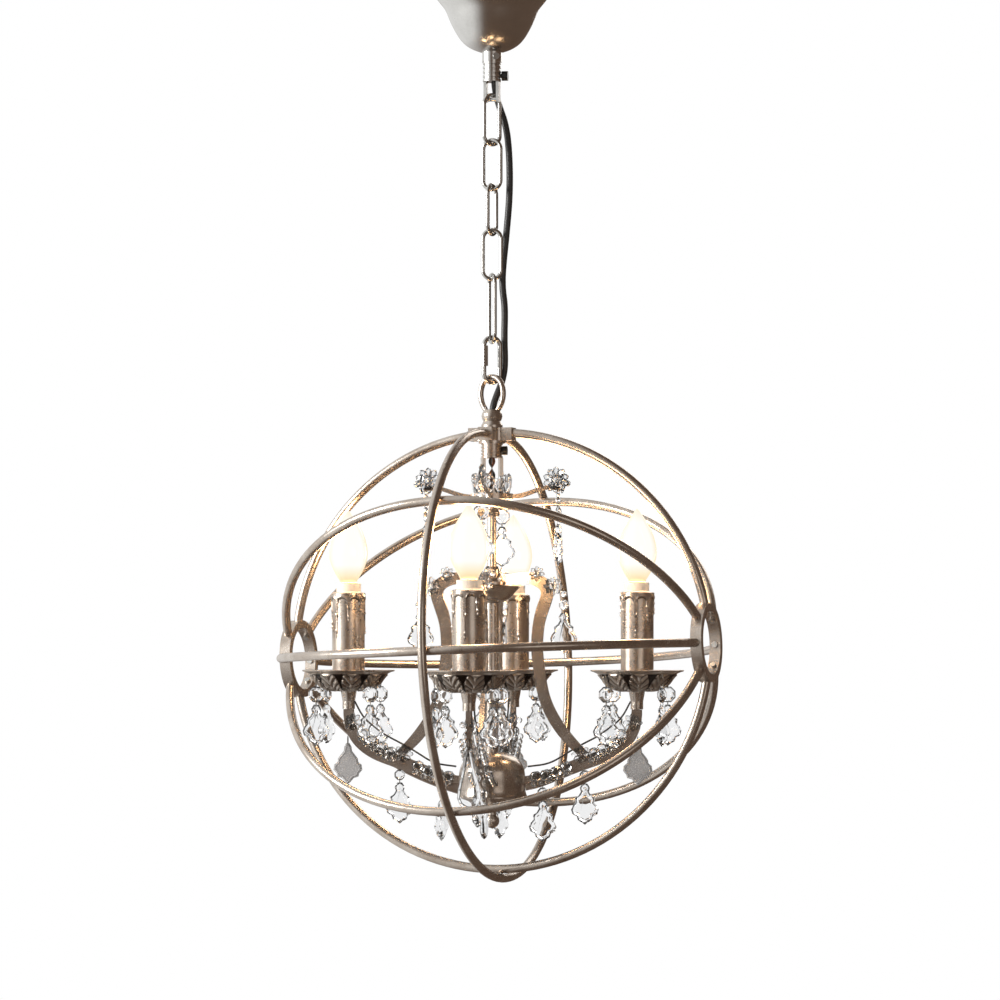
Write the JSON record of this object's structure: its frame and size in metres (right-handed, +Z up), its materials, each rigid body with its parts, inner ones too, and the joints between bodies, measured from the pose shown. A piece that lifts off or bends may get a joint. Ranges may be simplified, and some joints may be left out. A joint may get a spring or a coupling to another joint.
{
  "type": "orb chandelier",
  "caption": "Candle chandelier with crystal drops inside an orb of round rods, hung from a ceiling canopy on a chain with a supply cord.",
  "frame": {"origin": "on the ceiling, at the middle of the bracket's slot pattern", "axes": "+Z up into the ceiling; the candle arms lie along X and Y; the front looks towards -Y"},
  "size_m": [0.4017, 0.4083, 0.8024],
  "materials": {
    "antique_metal": "warm grey-brown antique paint with a soft metallic sheen",
    "satin_nickel": "satin grey metal",
    "zinc": "plain zinc plate",
    "black_screw": "black oxide",
    "cord": "dark round flex",
    "lead_insulation": "brown lead insulation",
    "holder_cream": "cream lamp holder plastic",
    "lamp_glass": "lit frosted candle lamp",
    "crystal": "clear cut glass"
  },
  "bodies": {
    "ceiling": {"ceiling_bracket": "zinc", "bracket_nipple": "zinc", "terminal_block": "holder_cream", "canopy": "satin_nickel", "canopy_collar": "antique_metal", "collar_screw": "zinc", "top_cord_grip": "antique_metal", "chain_stirrup": "antique_metal", "supply_cord": "cord"},
    "thumb_screw": {"top_thumb_screw": "black_screw"},
    "link_1": {"chain_link_1": "antique_metal"},
    "link_2": {"chain_link_2": "antique_metal"},
    "link_3": {"chain_link_3": "antique_metal"},
    "link_4": {"chain_link_4": "antique_metal"},
    "link_5": {"chain_link_5": "antique_metal"},
    "quick_link": {"quick_link": "antique_metal"},
    "quick_nut": {"quick_link_nut": "satin_nickel"},
    "loop": {"hanging_loop": "antique_metal"},
    "lamp_1": {"lamp_1": "lamp_glass"},
    "tip_1": {"tip_pendant_1": "crystal"},
    "lamp_2": {"lamp_2": "lamp_glass"},
    "tip_2": {"tip_pendant_2": "crystal"},
    "lamp_3": {"lamp_3": "lamp_glass"},
    "tip_3": {"tip_pendant_3": "crystal"},
    "lamp_4": {"lamp_4": "lamp_glass"},
    "tip_4": {"tip_pendant_4": "crystal"},
    "orb": {"front_upper_ring": "antique_metal", "back_upper_ring": "antique_metal", "equator_ring": "antique_metal", "meridian_ring": "antique_metal", "outer_ring": "antique_metal", "medallion_left": "antique_metal", "medallion_right": "antique_metal", "cage_screws": "zinc", "cage_hub": "antique_metal", "hub_nipple": "zinc", "hub_washer": "antique_metal", "lower_cord_grip": "antique_metal", "grip_screw": "black_screw", "stem_yoke": "antique_metal", "yoke_leads": "lead_insulation", "stem_tube": "antique_metal", "stem_cup": "antique_metal", "bottom_bell": "antique_metal", "bottom_saucer": "antique_metal", "finial_ball": "antique_metal", "main_arms": "antique_metal", "lyre_scrolls": "antique_metal", "lead_wires": "lead_insulation", "candle_collars": "antique_metal", "drip_pans": "antique_metal", "candle_sleeves": "antique_metal", "lamp_holders": "holder_cream", "pan_pendants": "crystal", "arm_garlands": "crystal", "arm_pendants": "crystal", "scroll_crystals": "crystal", "crown_arms": "antique_metal", "crown_crystals": "crystal", "crown_pendants": "crystal"}
  },
  "joints": [
    {"name": "link_1_swing", "type": "hinge", "parent": "ceiling", "child": "link_1", "pos_m": [0, 0, -0.1003], "axis": [0.9816, -0.1908, 0], "range_deg": [-12, 12], "deforming": ["supply_cord"]},
    {"name": "link_2_swing", "type": "hinge", "parent": "link_1", "child": "link_2", "pos_m": [0, 0, -0.1406], "axis": [0.7547, 0.6561, 0], "range_deg": [-12, 12]},
    {"name": "link_3_swing", "type": "hinge", "parent": "link_2", "child": "link_3", "pos_m": [0, 0, -0.1809], "axis": [0.9816, -0.1908, 0], "range_deg": [-12, 12]},
    {"name": "link_4_swing", "type": "hinge", "parent": "link_3", "child": "link_4", "pos_m": [0, 0, -0.2212], "axis": [0.3256, 0.9455, 0], "range_deg": [-12, 12]},
    {"name": "link_5_swing", "type": "hinge", "parent": "link_4", "child": "link_5", "pos_m": [0, 0, -0.2615], "axis": [0.9998, 0.0175, 0], "range_deg": [-12, 12]},
    {"name": "quick_link_swing", "type": "hinge", "parent": "link_5", "child": "quick_link", "pos_m": [0, 0, -0.318], "axis": [0.454, -0.891, 0], "range_deg": [-12, 12]},
    {"name": "loop_swing", "type": "hinge", "parent": "quick_link", "child": "loop", "pos_m": [0, 0, -0.3541], "axis": [0.829, 0.5592, 0], "range_deg": [-12, 12]},
    {"name": "quick_nut_slide", "type": "slide", "parent": "quick_link", "child": "quick_nut", "axis": [0, 0, -1], "range_m": [0, 0.007]},
    {"name": "orb_swivel", "type": "hinge", "parent": "loop", "child": "orb", "pos_m": [0, 0, -0.3947], "axis": [0, 0, 1], "range_deg": [-170, 170]},
    {"name": "thumb_screw_turn", "type": "hinge", "parent": "ceiling", "child": "thumb_screw", "pos_m": [0.0082, 0.0038, -0.0789], "axis": [1, 0, 0], "continuous": true},
    {"name": "lamp_1_screw_out", "type": "slide", "parent": "orb", "child": "lamp_1", "axis": [0, 0, 1], "range_m": [0, 0.009]},
    {"name": "lamp_2_screw_out", "type": "slide", "parent": "orb", "child": "lamp_2", "axis": [0, 0, 1], "range_m": [0, 0.009]},
    {"name": "lamp_3_screw_out", "type": "slide", "parent": "orb", "child": "lamp_3", "axis": [0, 0, 1], "range_m": [0, 0.009]},
    {"name": "lamp_4_screw_out", "type": "slide", "parent": "orb", "child": "lamp_4", "axis": [0, 0, 1], "range_m": [0, 0.009]},
    {"name": "tip_pendant_1_swing", "type": "hinge", "parent": "orb", "child": "tip_1", "pos_m": [0.13124, 0, -0.67282], "axis": [0, 1, 0], "range_deg": [-20, 20]},
    {"name": "tip_pendant_2_swing", "type": "hinge", "parent": "orb", "child": "tip_2", "pos_m": [0, 0.13124, -0.67282], "axis": [-1, 0, 0], "range_deg": [-20, 20]},
    {"name": "tip_pendant_3_swing", "type": "hinge", "parent": "orb", "child": "tip_3", "pos_m": [-0.13124, 0, -0.67282], "axis": [0, -1, 0], "range_deg": [-20, 20]},
    {"name": "tip_pendant_4_swing", "type": "hinge", "parent": "orb", "child": "tip_4", "pos_m": [0, -0.13124, -0.67282], "axis": [1, 0, 0], "range_deg": [-20, 20]}
  ]
}
